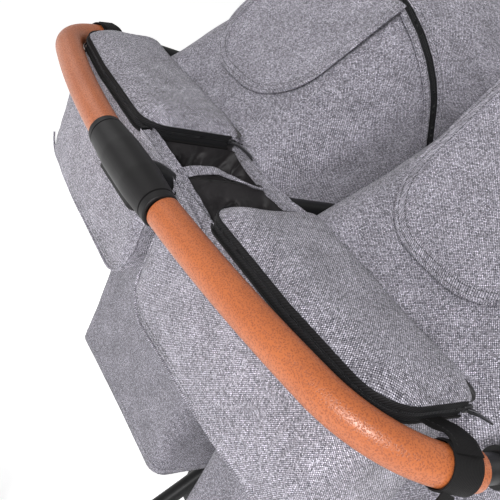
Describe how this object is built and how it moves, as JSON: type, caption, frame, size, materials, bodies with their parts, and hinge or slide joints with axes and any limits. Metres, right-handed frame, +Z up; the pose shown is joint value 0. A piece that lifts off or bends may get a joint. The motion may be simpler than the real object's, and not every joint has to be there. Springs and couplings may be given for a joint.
{
  "type": "side-by-side twin stroller",
  "caption": "Side-by-side twin stroller with a bowed leather-wrapped handle, handle organiser, zipped canopies, lie-flat seats, casters and a folding rear frame.",
  "frame": {"origin": "middle of the outline on the ground, between the wheels", "axes": "+Z up; the children face -Y and the handle is on the +Y side; +X is the children's left"},
  "size_m": [0.78, 0.9525, 1.267],
  "materials": {
    "leather": "pebbled, semi-matt",
    "hub_plastic": "fine matt grain",
    "frame_black": "satin black coat",
    "axle_steel": "zinc plated",
    "fabric_grey": "grey melange plain weave",
    "fabric_dark": "darker grey melange",
    "pad_fabric": "padded grey melange",
    "webbing": "ribbed black webbing",
    "zip_black": "black coil zip on tape",
    "black_plastic": "matt",
    "tyre": "matt rubber",
    "rim": "satin",
    "basket_mesh": "black mesh"
  },
  "bodies": {
    "chassis": {"handle_tube": "frame_black", "grip_left": "leather", "grip_right": "leather", "handle_straps": "webbing", "hub_upper_shell": "hub_plastic", "hub_lower_shell": "hub_plastic", "strut_left": "frame_black", "strut_right": "frame_black", "centre_strut": "frame_black", "frame_sockets": "black_plastic", "frame_bars": "frame_black", "front_legs": "frame_black", "caster_housings": "black_plastic", "seat_boards": "black_plastic", "seat_pads": "pad_fabric", "seat_tub_left": "fabric_dark", "seat_tub_right": "fabric_dark", "buckles": "black_plastic", "canopy_rear_left": "fabric_grey", "canopy_rear_right": "fabric_grey", "canopy_zips": "zip_black", "canopy_flaps": "fabric_grey", "canopy_clamps": "black_plastic", "organiser_bag_left": "fabric_grey", "organiser_bag_right": "fabric_grey", "organiser_divider": "fabric_grey", "lid_zips": "zip_black", "basket": "basket_mesh", "basket_hangers": "frame_black"},
    "fold_trigger": {"fold_trigger": "hub_plastic"},
    "rear_frame": {"rear_legs": "frame_black", "axle_tube": "frame_black", "rear_axle": "axle_steel"},
    "brake": {"brake_pedal": "black_plastic"},
    "rear_wheel_left": {"rear_left_rim": "rim", "rear_left_tyre": "tyre"},
    "rear_wheel_right": {"rear_right_rim": "rim", "rear_right_tyre": "tyre"},
    "caster_left": {"caster_fork_left": "black_plastic"},
    "front_wheel_left": {"front_left_rim": "rim", "front_left_tyre": "tyre"},
    "organiser_lid_left": {"organiser_lid_left": "fabric_grey"},
    "canopy_bow_left": {"canopy_bow_left": "frame_black", "canopy_front_left": "fabric_grey"},
    "backrest_left": {"backrest_frame_left": "frame_black", "backrest_pad_left": "pad_fabric", "harness_left": "webbing"},
    "calf_rest_left": {"calf_rest_left": "pad_fabric"},
    "buckle_button_left": {"buckle_button_left": "black_plastic"},
    "caster_right": {"caster_fork_right": "black_plastic"},
    "front_wheel_right": {"front_right_rim": "rim", "front_right_tyre": "tyre"},
    "organiser_lid_right": {"organiser_lid_right": "fabric_grey"},
    "canopy_bow_right": {"canopy_bow_right": "frame_black", "canopy_front_right": "fabric_grey"},
    "backrest_right": {"backrest_frame_right": "frame_black", "backrest_pad_right": "pad_fabric", "harness_right": "webbing"},
    "calf_rest_right": {"calf_rest_right": "pad_fabric"},
    "buckle_button_right": {"buckle_button_right": "black_plastic"}
  },
  "joints": [
    {"name": "fold_trigger_press", "type": "slide", "parent": "chassis", "child": "fold_trigger", "axis": [0, -0.0872, 0.9962], "range_m": [0, 0.0025], "stiffness_N_per_m": 800},
    {"name": "frame_fold", "type": "hinge", "parent": "chassis", "child": "rear_frame", "pos_m": [0, -0.0128, 0.53], "axis": [-1, 0, 0], "range_deg": [0, 36]},
    {"name": "brake_press", "type": "hinge", "parent": "rear_frame", "child": "brake", "pos_m": [0, 0.3992, 0.118], "axis": [-1, 0, 0], "range_deg": [0, 20]},
    {"name": "rear_wheel_left_spin", "type": "hinge", "parent": "rear_frame", "child": "rear_wheel_left", "pos_m": [0.366, 0.3652, 0.098], "axis": [1, 0, 0], "continuous": true},
    {"name": "rear_wheel_right_spin", "type": "hinge", "parent": "rear_frame", "child": "rear_wheel_right", "pos_m": [-0.366, 0.3652, 0.098], "axis": [1, 0, 0], "continuous": true},
    {"name": "caster_left_swivel", "type": "hinge", "parent": "chassis", "child": "caster_left", "pos_m": [0.3417, -0.3948, 0.17], "axis": [0, 0, 1], "continuous": true},
    {"name": "front_wheel_left_spin", "type": "hinge", "parent": "caster_left", "child": "front_wheel_left", "pos_m": [0.3417, -0.3548, 0.075], "axis": [1, 0, 0], "continuous": true},
    {"name": "organiser_lid_left_open", "type": "hinge", "parent": "chassis", "child": "organiser_lid_left", "pos_m": [0.185, 0.2992, 1.0415], "axis": [1, 0, 0], "range_deg": [0, 100]},
    {"name": "canopy_left_fold", "type": "hinge", "parent": "chassis", "child": "canopy_bow_left", "pos_m": [0.178, -0.0078, 0.93], "axis": [-1, 0, 0], "range_deg": [0, 50], "deforming": ["canopy_front_left"]},
    {"name": "backrest_left_recline", "type": "hinge", "parent": "chassis", "child": "backrest_left", "pos_m": [0.178, -0.1828, 0.59], "axis": [1, 0, 0], "range_deg": [0, 50]},
    {"name": "calf_rest_left_lift", "type": "hinge", "parent": "chassis", "child": "calf_rest_left", "pos_m": [0.178, -0.4188, 0.566], "axis": [-1, 0, 0], "range_deg": [0, 60]},
    {"name": "buckle_button_left_press", "type": "slide", "parent": "chassis", "child": "buckle_button_left", "axis": [0, 0, -1], "range_m": [0, 0.0018], "stiffness_N_per_m": 900},
    {"name": "caster_right_swivel", "type": "hinge", "parent": "chassis", "child": "caster_right", "pos_m": [-0.3417, -0.3948, 0.17], "axis": [0, 0, 1], "continuous": true},
    {"name": "front_wheel_right_spin", "type": "hinge", "parent": "caster_right", "child": "front_wheel_right", "pos_m": [-0.3417, -0.3548, 0.075], "axis": [1, 0, 0], "continuous": true},
    {"name": "organiser_lid_right_open", "type": "hinge", "parent": "chassis", "child": "organiser_lid_right", "pos_m": [-0.185, 0.2992, 1.0415], "axis": [1, 0, 0], "range_deg": [0, 100]},
    {"name": "canopy_right_fold", "type": "hinge", "parent": "chassis", "child": "canopy_bow_right", "pos_m": [-0.178, -0.0078, 0.93], "axis": [-1, 0, 0], "range_deg": [0, 50], "deforming": ["canopy_front_right"]},
    {"name": "backrest_right_recline", "type": "hinge", "parent": "chassis", "child": "backrest_right", "pos_m": [-0.178, -0.1828, 0.59], "axis": [1, 0, 0], "range_deg": [0, 50]},
    {"name": "calf_rest_right_lift", "type": "hinge", "parent": "chassis", "child": "calf_rest_right", "pos_m": [-0.178, -0.4188, 0.566], "axis": [-1, 0, 0], "range_deg": [0, 60]},
    {"name": "buckle_button_right_press", "type": "slide", "parent": "chassis", "child": "buckle_button_right", "axis": [0, 0, -1], "range_m": [0, 0.0018], "stiffness_N_per_m": 900}
  ]
}
